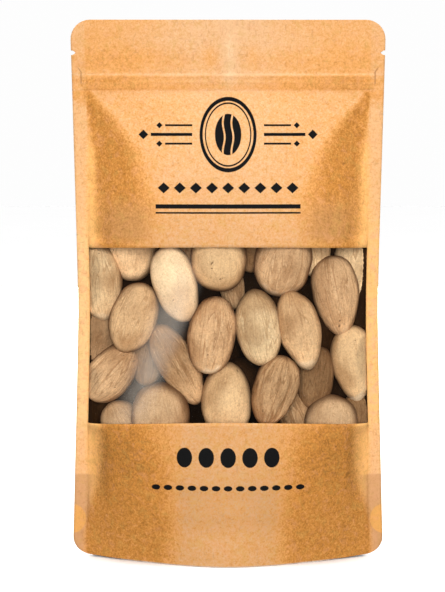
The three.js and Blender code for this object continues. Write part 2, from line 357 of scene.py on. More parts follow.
class PouchSizes(PropertyGroup):
    """Sizes of the paper pouch and its window."""

    height: length("Height", "From the floor to the top edge", POUCH_HIGH.z, min=0.1)
    waist_half: length("Waist", "Half the width where the pouch is narrowest", 53.15 * MM, min=0.02)
    seal: length("Side seal", "Width of the flat seal along each side", 4.7 * MM, min=0.001)
    foot_depth: length(
        "Foot depth", "How far the foot stands out in the middle",
        POUCH_HIGH.y - 0.4 * MM, min=0.005,
    )
    strip_bottom: length("Strip bottom", "Lower edge of the press-to-close strip", 166.4 * MM)
    strip_top: length("Strip top", "Upper edge of the press-to-close strip", 171.2 * MM)
    window_bottom: length("Window bottom", "Lower edge of the window at its sides", 48.4 * MM)
    window_top: length("Window top", "Upper edge of the window at its sides", 110.7 * MM)


class PouchColours(PropertyGroup):
    """Colours of the paper and its painted shade, its print, its lining and the film."""

    kraft: colour("Kraft", "Paper that faces the front", (0.588, 0.347, 0.178))
    # Painted shade: where the shade attribute grows, the paper turns to the warm kraft and then to
    # the deep kraft
    kraft_half_shade: colour("Warm kraft", "Paper a little deeper in colour", (0.58, 0.268, 0.080))
    kraft_shade: colour("Deep kraft", "Paper where it turns away to the sides", (0.43, 0.175, 0.035))
    kraft_seal: colour("Sealed kraft", "Paper of the flat side seals", (0.62, 0.345, 0.158))
    ink: colour("Ink", "Printed shapes", (0.004, 0.004, 0.004))
    # The lining is painted nearly black as the shade inside the pouch
    lining: colour("Lining", "Inside of the pouch", (0.036, 0.016, 0.0065))
    # The film's haze colour is also the colour of its painted glare
    haze: colour("Film haze", "Faint veil on the clear film", (0.80, 0.71, 0.60))


class NutmegSizes(PropertyGroup):
    """How finely the nutmegs are made, and how deeply they are furrowed."""

    detail: IntProperty(
        name="Detail", description="Subdivisions of a nutmeg that shows", default=5, min=3, max=6,
    )
    furrow: length("Furrow", "Depth of the long furrows", 0.2 * MM, min=0)


class StudioSettings(PropertyGroup):
    """Camera and lights."""

    distance: length("Distance", "From the camera to the pouch", 0.7, min=0.2)
    elevation: FloatProperty(
        name="Elevation", description="How far the camera looks down",
        default=math.radians(5), subtype="ANGLE",
    )
    aim_height: length("Aim height", "Height of the point in the middle of the picture", 93.4 * MM)
    aim_across: length("Aim across", "Place across of that point", -1.95 * MM)
    lens: FloatProperty(
        name="Lens", description="Focal length on a sensor 36 mm wide",
        default=159.8, min=10,
    )
    key: FloatProperty(
        name="Key light", description="Power of the front light", default=20.5, unit="POWER",
    )
    overhead: FloatProperty(
        name="Overhead", description="Strength of the light on the floor", default=2.75, min=0,
    )
    world: FloatProperty(
        name="Ambient", description="Strength of the light from all round", default=0.2, min=0,
    )


# ---------------------------------------------------------------- shared helpers


def lerp(a, b, t):
    return a + (b - a) * t


def clamp(x, low=0.0, high=1.0):
    return max(low, min(high, x))


def smoothstep(x, low, high):
    t = clamp((x - low) / (high - low))
    return t * t * (3 - 2 * t)


def plateau(x, rise_start, rise_end, fall_start, fall_end):
    """A smooth rise from 0 to 1 and a smooth fall back to 0."""
    return smoothstep(x, rise_start, rise_end) * (1 - smoothstep(x, fall_start, fall_end))


def table_row(table, height):
    """The values of a table at a height, between its rows. Its rows run downwards."""
    height = min(height / MM, table[0][0])
    for above, below in zip(table, table[1:]):
        if height >= below[0]:
            t = clamp((height - above[0]) / (below[0] - above[0]))
            return [lerp(a, b, t) * MM for a, b in zip(above[1:], below[1:])]
    return [value * MM for value in table[-1][1:]]


def bell(x, width):
    """A smooth hump that is 1 at 0 and falls off over width."""
    return math.exp(-((x / width) ** 2))


def smooth_noise(x, y, z, scale):
    return noise.noise(Vector((x, y, z)) / scale)


class PouchForm:
    """Where the paper lies: front view, filling out and small relief."""

    def __init__(self, sizes):
        self.sizes = sizes

    def half_width(self, z):
        rise = z - WAIST_HEIGHT
        flare = UPPER_FLARE if rise > 0 else LOWER_FLARE
        return self.sizes.waist_half + flare * (math.hypot(rise, WAIST_BLEND) - WAIST_BLEND)

    def seam_half(self, z):
        """Half the width between the side seals, which are narrower beside the window."""
        low, high = self.sizes.window_bottom, self.sizes.window_top
        beside = plateau(z, low - SEAL_CHANGE, low, high, high + SEAL_CHANGE)
        return self.half_width(z) - lerp(self.sizes.seal, WINDOW_SEAL, beside)

    def outline_half(self, z):
        """Half the width with the round corners and the tear notches."""
        half = self.half_width(z)
        into_top = z - (self.sizes.height - TOP_CORNER)
        for radius, into in ((TOP_CORNER, into_top), (FOOT_CORNER, FOOT_CORNER - z)):
            if into > 0:
                half -= radius - math.sqrt(max(radius**2 - into**2, 0))
        notch = 1 - abs(z - NOTCH_HEIGHT) / NOTCH_HALF
        return half - NOTCH_DEPTH * math.sqrt(clamp(notch))

    def lift(self, x, z):
        """How far the paper is raised at the foot's corners."""
        corner = smoothstep(abs(x), FOOT_FLAT, self.half_width(0))
        return FOOT_LIFT * corner * (1 - smoothstep(z, 0, 3 * FOOT_CORNER))

    def fullness(self, z):
        up = clamp(z / self.sizes.strip_bottom)
        return self.sizes.foot_depth * (1 - up**FULLNESS_POWER) ** FULLNESS_ROUND

    def section(self, across, z):
        """Share of the fullness at a place across: a lens at the foot, a pillow above it."""
        reach = math.hypot(1, FOOT_TIP) - FOOT_TIP
        lens = 1 - (math.hypot(across, FOOT_TIP) - FOOT_TIP) / reach
        shoulder = smoothstep(z, SHOULDER_START, SHOULDER_END)
        pillow = (1 - across**PILLOW_POWER) ** lerp(PILLOW_ROUND, SHOULDER_ROUND, shoulder)
        return lerp(lens, pillow, smoothstep(z, 0, BELLY_START))

    def lead(self, x, z):
        """Share of its depth that the front has near the seal, which it leaves gently."""
        rise = lerp(GENTLE_START, 1, smoothstep(self.seam_half(z) - abs(x), 0, GENTLE_WIDTH))
        return lerp(1, rise, plateau(z, *GENTLE_HEIGHTS) * (1 - plateau(z, *FULL_HEIGHTS)))

    def depth(self, x, z, side=-1):
        """Plain distance of a panel from the middle plane."""
        across = min(abs(x) / self.seam_half(z), 1)
        lead = self.lead(x, z) if side < 0 else 1
        return FLANGE_HALF + self.fullness(z) * self.section(across, z) * lead

    def strip(self, x, z):
        """The press-to-close strip: a raised band, two ridges and a groove under it."""
        low, high = self.sizes.strip_bottom, self.sizes.strip_top
        inside = smoothstep(self.half_width(z) - abs(x), 2.8 * MM, 3.8 * MM)
        slope = min(z - low + STRIP_SLOPE, high + STRIP_SLOPE - z)
        relief = STRIP_RELIEF * clamp(slope / STRIP_SLOPE)
        for down, size, width in STRIP_RIDGES:
            relief += size * bell(z - high + down, width)
        return inside * (relief - GROOVE_RELIEF * bell(z - low + 0.6 * MM, 0.7 * MM))

    def ticks(self, x, z):
        """Short slanting creases that cross the strip near its ends."""
        run = (self.sizes.strip_top + MM - z) * 0.7
        slant = abs(x) - TICK_ACROSS + run
        near = bell(z - self.sizes.strip_top + 1.5 * MM, 3 * MM)
        size = TICK_LEFT if x < 0 else TICK_RIGHT
        return size * near * (bell(slant, MM) - bell(slant - 2 * MM, MM))

    def crushed_ends(self, x, z):
        """Curved dents where the side seals crush the ends of the strip."""
        run = z - self.sizes.strip_bottom
        bow = self.half_width(z) - 3.6 * MM + 0.12 * run - 0.02 / MM * run**2
        reach = plateau(run, -1 * MM, 1 * MM, 6 * MM, 9 * MM)
        return -CRUSH_RELIEF * reach * bell(abs(x) - bow, 0.9 * MM)

    def fold_shade(self, x, z):
        """Mask of painted shade: 0 on the flat middle of a panel and 1 on its side."""
        line, soft = table_row(FOLDS, z)
        return smoothstep(abs(x), line - soft, line + soft)

    def folds(self, x, z, side):
        """The soft ridge along the fold from the ends of the strip to the belly."""
        line, soft = table_row(FOLDS, z)
        wander = 1.6 * MM * smooth_noise(side * 31, 0, z, 19 * MM)
        low = self.sizes.strip_bottom
        reach = plateau(z, WAIST_HEIGHT, 125 * MM, low - 8 * MM, low)
        ridge = bell(abs(x) - line + wander, soft + 1.5 * MM)
        hollow = bell(abs(x) - lerp(line, self.seam_half(z), 0.6), soft + 1.5 * MM)
        return reach * (RIDGE_RELIEF * ridge - HOLLOW_RELIEF * hollow)

    def puckers(self, x, z, side):
        """Short ripples that run in from the side seals."""
        inward = self.seam_half(z) - abs(x)
        if inward < 0:
            return 0
        hand = 17 if x > 0 else 3
        ripple = smooth_noise(hand, side * 7, z, 6.5 * MM)
        ripple += 0.6 * smooth_noise(hand, side * 5, z, 2.9 * MM)
        return PUCKER_RELIEF * ripple * math.exp(-inward / (5 * MM)) * smoothstep(inward, 0, MM)

    def foot_relief(self, x, z):
        """The lower panel: pressed out over the gusset between two soft upright lines."""
        inner = 1 - smoothstep(abs(x), 22.5 * MM, 27 * MM)
        return FOOT_RELIEF * inner * (1 - smoothstep(z, 17 * MM, 25 * MM))

    def unevenness(self, x, z, side):
        """Slack and dents of the filled paper."""
        filled = clamp(self.depth(x, z) / (9 * MM))
        broad = BROAD_RELIEF * smooth_noise(x, side * 0.4, z, 34 * MM)
        small = SMALL_RELIEF * smooth_noise(x, 3 + side * 0.3, z, 11 * MM)
        return filled * (broad + small)

    def relief(self, x, z, side):
        """All small relief, outwards. side is -1 on the front and 1 on the back."""
        below = 1 - smoothstep(z, self.sizes.strip_bottom - 3 * MM, self.sizes.strip_bottom)
        soft = self.folds(x, z, side) + self.puckers(x, z, side) + self.unevenness(x, z, side)
        return (
            self.strip(x, z)
            + self.ticks(x, z)
            + self.crushed_ends(x, z)
            + below * soft * smoothstep(z, 0, 12 * MM)
            + self.foot_relief(x, z)
        )

    def sway(self, x, z):
        """The flat top bends to and fro as one sheet, with soft upright creases."""
        free = smoothstep(z, self.sizes.strip_top, self.sizes.height)
        crease = sum(share * bell(x - across, width) for across, width, share in TOP_CREASES)
        near = bell(z - 178 * MM, 6.5 * MM)
        wave = SWAY_RELIEF * free * smooth_noise(x, 0.2, z, 42 * MM)
        edge = 0.25 * MM * smooth_noise(x, 0.7, z, 30 * MM)
        flat = smoothstep(abs(x), self.seam_half(z), self.half_width(z))
        return wave - CREASE_RELIEF * crease * near + edge * flat

    def skin(self, x, z, side):
        """The outer face of a panel: its place across the thickness."""
        return side * (self.depth(x, z, side) + self.relief(x, z, side)) + self.sway(x, z)

    def kept_inside(self, point):
        """A point moved to where the paper leaves room for it."""
        reach = self.seam_half(point.z) - 0.3 * MM
        x = clamp(point.x, -reach, reach)
        spare = 0.7 * MM + 0.5 * MM * math.exp(-(reach - abs(x)) / (5 * MM))
        room = max(self.depth(x, point.z) - spare, TIP_DEPTH)
        return Vector((x, clamp(point.y, -room, room), point.z))

    def window_bottom(self, across):
        return self.sizes.window_bottom + WINDOW_BOTTOM_ARCH * (1 - across**2)

    def window_top(self, across):
        return self.sizes.window_top + WINDOW_TOP_ARCH * (1 - across**2)

    def gusset_roof(self, along, v):
        """Height of the gusset over the floor: highest at the sides, a pad in the middle."""
        fold = lerp(PAD_HEIGHT, GUSSET_TOP, smoothstep(along, 0.45, 1))
        rim = lerp(GUSSET_RIM, GUSSET_RIM_TOP, smoothstep(along, 0.5, 1))
        return lerp(fold, rim, abs(v) ** 3)


class Place:
    """Where a row or column of a grid lies, between knots with a number of steps each."""

    def __init__(self, knots, steps, bends=None):
        self.knots = knots
        self.steps = steps
        self.bends = bends or {}
        self.count = sum(steps)

    def span(self, index):
        """The span that an index falls in, and how far along that span it is."""
        for number, step in enumerate(self.steps):
            if index <= step:
                share = index / step
                return number, self.bends.get(number, lambda t: t)(share)
            index -= step
        raise ValueError("index past the last knot")

    def value(self, index):
        number, share = self.span(index)
        return lerp(self.knots[number], self.knots[number + 1], share)

    def index_at(self, unit):
        """The index of a place on the box, which runs from -1 to 1."""
        return (unit + 1) / 2 * self.count

    def holds(self, number, unit):
        """Whether a place on the box lies in a span."""
        start = sum(self.steps[:number])
        return start < self.index_at(unit) < start + self.steps[number]


def grid_box(columns, rows):
    """A closed box of grid faces, one step thick: x is across, y is -1 or 1, z is up."""
    bm = bmesh.new()
    bmesh.ops.create_grid(bm, x_segments=columns, y_segments=rows, size=1)
    bmesh.ops.rotate(bm, verts=bm.verts, matrix=Matrix.Rotation(math.pi / 2, 3, "X"))
    bmesh.ops.translate(bm, verts=bm.verts, vec=(0, 1, 0))
    grown = bmesh.ops.extrude_face_region(bm, geom=bm.faces[:])
    front = [item for item in grown["geom"] if isinstance(item, bmesh.types.BMVert)]
    bmesh.ops.translate(bm, verts=front, vec=(0, -2, 0))
    return bm


def finish_piece(bm, name, materials, replaced):
    """Makes a piece of a bmesh, in place of a node of the frame."""
    bmesh.ops.recalc_face_normals(bm, faces=bm.faces)
    mesh = bpy.data.meshes.new(name)
    bm.to_mesh(mesh)
    bm.free()
    for material in materials:
        mesh.materials.append(material)
    mesh.shade_smooth()
    piece = bpy.data.objects.new(name, mesh)
    bpy.context.scene.collection.objects.link(piece)
    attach(piece, "root")
    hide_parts(replaced)


# ---------------------------------------------------------------- materials


class Value:
    """A number that varies over a surface. Arithmetic on it adds Math nodes."""

    def __init__(self, finish, socket):
        self.finish = finish
        self.socket = socket

    def math(self, operation, *others):
        return self.finish.math(operation, self, *others)

    def __add__(self, other):
        return self.math("ADD", other)

    __radd__ = __add__

    def __sub__(self, other):
        return self.math("SUBTRACT", other)

    def __rsub__(self, other):
        return self.finish.math("SUBTRACT", other, self)

    def __mul__(self, other):
        return self.math("MULTIPLY", other)

    __rmul__ = __mul__

    def __truediv__(self, other):
        return self.math("DIVIDE", other)

    def __pow__(self, other):
        return self.math("POWER", other)

    def __abs__(self):
        return self.math("ABSOLUTE")

    def sharp(self, low, high):
        """0 below low, 1 above high, and a smooth step between them."""
        settings = {"interpolation_type": "SMOOTHSTEP"}
        node = self.finish.add(
            "ShaderNodeMapRange", settings, {"Value": self, "From Min": low, "From Max": high}
        )
        return Value(self.finish, node.outputs["Result"])


class Finish:
    """One material and the nodes that paint it."""

    def __init__(self, name):
        self.material = bpy.data.materials.new(name)
        self.material.use_nodes = True
        self.tree = self.material.node_tree
        self.tree.nodes.clear()

    def add(self, kind, settings=None, sockets=None):
        """Adds a node, sets its settings and then fills or links its sockets."""
        node = self.tree.nodes.new(kind)
        for name, value in (settings or {}).items():
            setattr(node, name, value)
        for key, value in (sockets or {}).items():
            if isinstance(value, Value):
                self.tree.links.new(value.socket, node.inputs[key])
            else:
                node.inputs[key].default_value = value
        return node

    def math(self, operation, *values):
        node = self.add("ShaderNodeMath", {"operation": operation}, dict(enumerate(values)))
        return Value(self, node.outputs[0])

    def place(self):
        """Across, depth and height over the piece, in millimetres."""
        coordinates = self.add("ShaderNodeTexCoord")
        scaled = self.add(
            "ShaderNodeVectorMath", {"operation": "SCALE"},
            {0: Value(self, coordinates.outputs["Object"]), "Scale": 1 / MM},
        )
        return Value(self, scaled.outputs[0])

    def parts(self, vector):
        node = self.add("ShaderNodeSeparateXYZ", None, {0: vector})
        return [Value(self, socket) for socket in node.outputs]

    def grey(self, value):
        """A number as a grey colour."""
        node = self.add("ShaderNodeCombineColor", None, {0: value, 1: value, 2: value})
        return Value(self, node.outputs[0])

    def within(self, value):
        """A number held between 0 and 1."""
        node = self.add("ShaderNodeClamp", None, {"Value": value})
        return Value(self, node.outputs[0])

    def attribute(self, name, output="Fac"):
        node = self.add("ShaderNodeAttribute", {"attribute_name": name})
        return Value(self, node.outputs[output])

    def mapped(self, vector, scale, turn=(0, 0, 0)):
        sockets = {"Vector": vector, "Scale": scale, "Rotation": turn}
        return Value(self, self.add("ShaderNodeMapping", None, sockets).outputs[0])

    def noise(self, vector, scale, detail=2.0, rough=0.5, distortion=0.0):
        node = self.add(
            "ShaderNodeTexNoise", None,
            {"Vector": vector, "Scale": scale, "Detail": detail, "Roughness": rough,
             "Distortion": distortion},
        )
        return Value(self, node.outputs["Fac"])

    def mix(self, factor, first, second, blend="MIX"):
        """Two colours mixed. A plain colour is given as three numbers."""
        sockets = {"Factor_Float": factor, "A_Color": first, "B_Color": second}
        node = self.add("ShaderNodeMix", {"data_type": "RGBA", "blend_type": blend})
        for socket in node.inputs:
            if socket.identifier not in sockets:
                continue
            value = sockets[socket.identifier]
            if isinstance(value, Value):
                self.tree.links.new(value.socket, socket)
            elif socket.identifier == "Factor_Float":
                socket.default_value = value
            else:
                socket.default_value = (*value, 1)
        return Value(self, node.outputs[2])

    def layers(self, base, *layers):
        """A colour with others laid over it in order, each given as its mask and itself."""
        for mask, colour in layers:
            base = self.mix(mask, base, colour)
        return base

    def tinted(self, colour, tint):
        """A colour multiplied by another."""
        return self.mix(1.0, colour, tint, "MULTIPLY")

    def bump(self, height, distance, strength):
        sockets = {"Height": height, "Distance": distance, "Strength": strength}
        return Value(self, self.add("ShaderNodeBump", None, sockets).outputs[0])

    def close(self, shader):
        """Ends the tree in its output."""
        output = self.add("ShaderNodeOutputMaterial")
        self.tree.links.new(shader.outputs[0], output.inputs["Surface"])
        return self.material

    def surface(self, sockets):
        """Ends the tree in one plain surface."""
        return self.close(self.add("ShaderNodeBsdfPrincipled", None, sockets))


def either(*masks):
    """The largest of several masks."""
    return reduce(lambda first, second: first.math("MAXIMUM", second), masks)


def both(*masks):
    """The smallest of several masks."""
    return reduce(lambda first, second: first.math("MINIMUM", second), masks)


def inked(distance):
    """A mask of where the distance outside a shape is below zero."""
    return 1 - distance.sharp(-INK_EDGE, INK_EDGE)


def bar(x, z, half_width, half_height):
    """How far outside a bar a point lies, at x and z from its middle."""
    return (abs(x) - half_width).math("MAXIMUM", abs(z) - half_height)


def oval(x, z, half_width, half_height):
    """How far outside an oval a point lies, true near its edge."""
    apart = (x / half_width) ** 2 + (z / half_height) ** 2
    return (apart ** 0.5 - 1) * min(half_width, half_height)


def diamond(x, z, half_width, half_height):
    """How far outside a diamond a point lies, nearly true."""
    apart = abs(x) / half_width + abs(z) / half_height
    return (apart - 1) * min(half_width, half_height) * DIAMOND_SLOPE


def in_row(x, spacing):
    """Across from the middle of the nearest shape of a row, one of which is in the middle."""
    cells = x / spacing + 0.5
    return (cells - cells.math("FLOOR") - 0.5) * spacing


def print_mask(x, z):
    """Plain printed shapes: an oval badge with wings, rows of lozenges and ovals, rules."""
    up = z - BADGE_HEIGHT
    rings = [inked(abs(oval(x, up, wide, high)) - line) for wide, high, line in BADGE_RINGS]
    bend = x + (z * GROOVE_WAVES).math("SINE") * GROOVE_SWING
    grooves = either(*[inked(abs(bend - side) - GROOVE_HALF) for side in GROOVES])
    seed = both(inked(oval(x, up, *BADGE_SEED)), 1 - grooves)
    bars = [
        inked(bar(abs(x) - (start + end) / 2, z - height, (end - start) / 2, half))
        for height, start, end, half, _, _ in WINGS
    ]
    tips = [
        inked(diamond(abs(x) - tip, z - height, size, size)) for height, _, _, _, tip, size in WINGS
    ]
    lozenges, seeds, dashes = [
        both(inked(shape(in_row(x, spacing), z - height, *halves)), inked(abs(x) - reach))
        for shape, spacing, height, halves, reach in (
            (diamond, *LOZENGE_ROW), (oval, *SEED_ROW), (oval, *DASH_ROW)
        )
    ]
    rules = [inked(bar(x, z - height, wide, high)) for height, wide, high in RULES]
    return either(*rings, seed, *bars, *tips, lozenges, *rules, seeds, dashes)


def kraft_fibres(finish, place):
    """Fine fibres that lie across each other."""
    upright = finish.noise(finish.mapped(place, (1, 1, 0.35), (0, 0.5, 0)), 1.5, 2, 0.5, 0.8)
    level = finish.noise(finish.mapped(place, (0.3, 1, 1), (0, -0.3, 0)), 1.5, 2, 0.5, 0.6)
    return either(upright.sharp(0.58, 0.72), level.sharp(0.6, 0.74))


def strip_crease(x, z):
    """Upright creases at the ends of the strip, which lean outwards above it: painted shade and
    bump.
    """
    lean = (z - CREASE_BEND).math("MAXIMUM", 0.0) * 0.7
    crease = abs(abs(x) - CREASE_ACROSS - lean) - 0.05
    return (1 - crease.sharp(0.0, 0.35)) * z.sharp(167.6, 168.8) * (1 - z.sharp(173.2, 174.4))


def kraft_base(finish, place, seal, shade, hue, colours):
    """Paper colour with painted light and shade, before its mottling. Heights in millimetres."""
    x, y, z = finish.parts(place)
    upper = z.sharp(*FLAT_TOP)
    # Painted shade in a band where the paper turns away from its seal
    seal_edge_shade = 4 * seal * (1 - seal) * z.sharp(16, 28) * (1 - z.sharp(140, 156))
    beside = seal * z.sharp(40, 55) * (1 - z.sharp(105, 130)) * hue.sharp(0.35, 0.6)
    edge = GUSSET_TOP / MM
    gusset = seal * (1 - z.sharp(edge - 0.5, edge + 0.5))
    # Painted shade on the front just over the sides of the window
    above = z.sharp(111, 116) * (1 - z.sharp(121, 132))
    above = above * abs(x).sharp(22, 33) * (1 - abs(x).sharp(38, 47)) * (1 - y.sharp(*FRONT))
    aside, up = (abs(x) - TACK_ACROSS) / TACK_HALF_WIDTH, (z - TACK_HEIGHT) / TACK_HALF_HEIGHT
    tack = 1 - finish.math("SQRT", aside ** 2 + up ** 2).sharp(0.94, 1.03)
    # Painted light and shade among these layers: the pale highlight, the warm and deep kraft, the
    # seal's edge band, the light on steep paper and the shade over the window
    return finish.layers(
        finish.mix(seal * (1 - upper), tuple(colours.kraft), tuple(colours.kraft_seal)),
        (finish.within(-2 * shade - 0.25), PAPER_TONES["top highlight"]),
        (finish.within(2 * shade), tuple(colours.kraft_half_shade)),
        (finish.within(2 * shade - 1), tuple(colours.kraft_shade)),
        (seal_edge_shade * 0.55, PAPER_TONES["seal edge shade"]),
        (finish.attribute("steep_light"), PAPER_TONES["steep_light"]),
        (beside * 0.8, finish.mix(x.sharp(-1, 1), PAPER_TONES["left"], PAPER_TONES["right"])),
        (gusset * 0.75, PAPER_TONES["gusset"]),
        (gusset * (1 - z.sharp(10, 26)) * 0.45, PAPER_TONES["gusset foot"]),
        (above * 0.6, PAPER_TONES["shade over window"]),
        (tack * 0.9, PAPER_TONES["tack"]),
        ((1 - z.sharp(0.15, 0.55)) * 0.8, PAPER_TONES["foot edge"]),
    )


def kraft_finish(colours):
    """Mottled kraft paper with fine fibres, painted shade where it turns away, printed in front."""
    finish = Finish("kraft_paper")
    place = finish.place()
    x, y, z = finish.parts(place)
    seal = finish.attribute("seal")
    grain = finish.noise(place, 1.45, 3, 0.68, 0.3)
    fleck = finish.noise(place, 0.6, 3, 0.6, 0.5)
    cloud = finish.noise(place, 0.075, 2, 0.5)
    hue = finish.noise(place, 0.3, 3, 0.6, 0.6)
    fibre = kraft_fibres(finish, place)
    shade = finish.attribute("shade") * (1 - seal * (1 - z.sharp(*FLAT_TOP) * 0.6))
    speck = 1.9 * (grain - 0.5) + 0.9 * (fleck - 0.5)
    shade = shade + speck * (0.7 - 0.25 * z.sharp(160, 170)) + 0.3 * (cloud - 0.5)
    # The grain mottles the paper, which also darkens as painted shade where the shade passes 1
    mottle_and_shade = 1 - speck * (0.14 + 0.32 * shade) - 0.5 * (shade - 1).math("MAXIMUM", 0.0)
    # Painted shade: paper that is neither sealed nor shaded already is darker lower down, fully
    # below 100 mm and most between about 18 and 24 mm
    lower = 1 - z.sharp(100, 158)
    lower = lower * (0.19 + 0.12 * z.sharp(8, 18) * (1 - z.sharp(24, 36)))
    mottle_and_shade = mottle_and_shade * (1 - lower * (1 - finish.within(shade)) * (1 - seal))
    crease = strip_crease(x, z)
    ink = print_mask(x, z) * (1 - y.sharp(*FRONT))
    worn = 1 - grain.sharp(0.68, 0.82) * 0.1
    paper = finish.layers(
        finish.tinted(kraft_base(finish, place, seal, shade, hue, colours), finish.grey(mottle_and_shade)),
        (fibre * 0.28, PAPER_TONES["fibre"]),
        (hue.sharp(0.5, 0.72) * 0.3, PAPER_TONES["ochre"]),
        ((1 - hue).sharp(0.5, 0.72) * 0.25, PAPER_TONES["rust"]),
        # Painted shade in the creases at the strip's ends
        (crease * 0.75, PAPER_TONES["crease"]),
        (ink * worn, tuple(colours.ink)),
    )
    height = grain * 0.6 + fibre * 0.5 + fleck * 0.5 - crease * 2
    return finish.surface({
        "Base Color": paper,
        "Roughness": 0.62 + 0.12 * grain - 0.06 * ink,
        "Specular IOR Level": DULL,
        "Normal": finish.bump(height, 0.05 * MM, 0.5),
    })


def lining_finish(colours):
    """The dull brown inside of the paper, painted dark as shade."""
    finish = Finish("pouch_lining")
    grain = finish.noise(finish.place(), 0.9, 3, 0.6)
    dark = tuple(channel * 0.45 for channel in colours.lining)
    return finish.surface({
        "Base Color": finish.mix(grain, dark, tuple(colours.lining)),
        "Roughness": 0.7 + 0.2 * grain,
        "Specular IOR Level": DULL,
        "Normal": finish.bump(grain, 0.08 * MM, 0.4),
    })


def nutmeg_finish():
    """Dry nutmeg: a tone for each seed, wrinkles that run from end to end, pale ends, pits."""
    finish = Finish("nutmeg_shell")
    place = finish.place()
    spot = finish.attribute("seed_place", "Vector")
    tone = finish.attribute("seed_tone_and_light", "Color")
    rugged = finish.attribute("seed_tone_and_light", "Alpha")
    pale_share = finish.attribute("seed_pale")
    wrinkle = finish.noise(finish.mapped(spot, (1, 1, 0.13)), 0.31, 1, 0.5, 1.1)
    thread = finish.noise(finish.mapped(spot, (1, 1, 0.14)), 1.2, 2, 0.6, 1.2)
    patch = finish.noise(finish.mapped(spot, (1, 1, 0.5)), 0.2, 2, 0.5, 0.6)
    streak = finish.noise(finish.mapped(spot, (1, 1, 0.6)), 0.9, 3, 0.65, 0.8)
    grain = finish.noise(place, 1.7, 3, 0.7)
    fleck = finish.noise(place, 0.9, 3, 0.65, 0.4)
    pits = finish.noise(place, 0.8, 1, 0.4)
    line = (1 - abs(thread - 0.5) * 10).sharp(0.1, 1.0) * patch.sharp(0.47, 0.62) * rugged
    vein = (1 - abs(wrinkle - 0.5) * 24).sharp(0.1, 1.0) * rugged
    ridge = wrinkle.sharp(0.56, 0.7) * patch.sharp(0.35, 0.6) * rugged
    # Painted highlight: a thin bright line along one side of each wrinkle
    painted_glint = (1 - abs(wrinkle - 0.545) * 24).sharp(0.1, 1.0) * patch.sharp(0.4, 0.55) * rugged
    pit = pits.sharp(0.71, 0.77) * patch.sharp(0.5, 0.6)
    pale, dark, glint_colour = [finish.tinted(tone, tint) for tint in (SEED_PALE, SEED_DARK, SEED_GLINT)]
    colour = finish.layers(
        tone,
        (pale_share.sharp(0.35, 1.0), pale),
        ((1 - pale_share).sharp(0.5, 1.05) * 0.6, dark),
        (finish.within(ridge * 0.3), pale),
        (finish.within(painted_glint * 0.45), glint_colour),
        (finish.within(vein * 0.56), dark),
        (finish.within(line * 0.36), dark),
        (fleck.sharp(0.52, 0.72) * 0.35, dark),
        (finish.attribute("furrow").sharp(0.3, 1.0) * 0.45, dark),
        (pit * 0.7, SEED_PIT),
        (finish.attribute("seed_tip") * 0.85, SEED_TIP),
    )
    colour = finish.mix(finish.attribute("light_inside"), finish.tinted(colour, SEED_SHADE), colour)
    speckle = 1.0 + 0.8 * (grain - 0.5) + (0.35 + 0.4 * rugged) * (streak - 0.5)
    height = 0.6 * grain - 0.7 * vein - 0.5 * line + 0.5 * ridge - pit
    return finish.surface({
        "Base Color": finish.tinted(colour, finish.grey(speckle)),
        "Roughness": 0.62 + 0.2 * grain,
        "Specular IOR Level": DULL,
        "Normal": finish.bump(height, 0.15 * MM, 0.6),
    })


def film_finish(colours):
    """Clear glossy film with a faint haze, stronger along one slanting band of painted glare."""
    finish = Finish("clear_film")
    place = finish.place()
    x, _, z = finish.parts(place)
    # Painted reflection: a band of glare slants across the film
    aside, up = x - GLARE_ACROSS, z - GLARE_HEIGHT
    slant = abs(aside * 0.92 - up * 0.34)
    along = abs(aside * 0.34 + up * 0.92)
    uneven = finish.noise(place, 0.11, 2, 0.5)
    band = (1 - (slant / GLARE_HALF_WIDTH).sharp(0, 1)) * (1 - (along / GLARE_REACH).sharp(0.2, 1))
    gloss = finish.add("ShaderNodeBsdfPrincipled", None, {
        "Base Color": (*colours.haze, 1),
        "Roughness": 0.12 + 0.1 * uneven,
        "IOR": 1.45,
        "Normal": finish.bump(finish.noise(place, 0.35, 2, 0.5), 0.05 * MM, 0.3),
    })
    clear = finish.add("ShaderNodeBsdfTransparent")
    facing = finish.add("ShaderNodeLayerWeight", None, {"Blend": 0.12})
    rim = (Value(finish, facing.outputs["Fresnel"]) - 0.03).math("MAXIMUM", 0.0)
    rim = rim * (1 - abs(x).sharp(42, 47))
    haze_and_glare = band * (0.02 + 0.18 * uneven) + 0.001
    mixed = finish.add("ShaderNodeMixShader", None, {"Fac": haze_and_glare + 0.3 * rim})
    finish.tree.links.new(clear.outputs[0], mixed.inputs[1])
    finish.tree.links.new(gloss.outputs[0], mixed.inputs[2])
    return finish.close(mixed)


def stage_finish():
    """Smooth near-white studio floor."""
    finish = Finish("studio_floor")
    cloud = finish.noise(finish.place(), 0.01, 2, 0.5)
    return finish.surface({
        "Base Color": finish.mix(cloud, (0.93, 0.93, 0.93), (0.95, 0.95, 0.95)),
        "Roughness": 0.85,
        "Specular IOR Level": 0.1,
    })


def backdrop_finish():
    """Even white light of the backdrop."""
    finish = Finish("studio_backdrop")
    sockets = {"Color": (1, 1, 1, 1), "Strength": BACKDROP_STRENGTH}
    return finish.close(finish.add("ShaderNodeEmission", None, sockets))


# ---------------------------------------------------------------- pieces


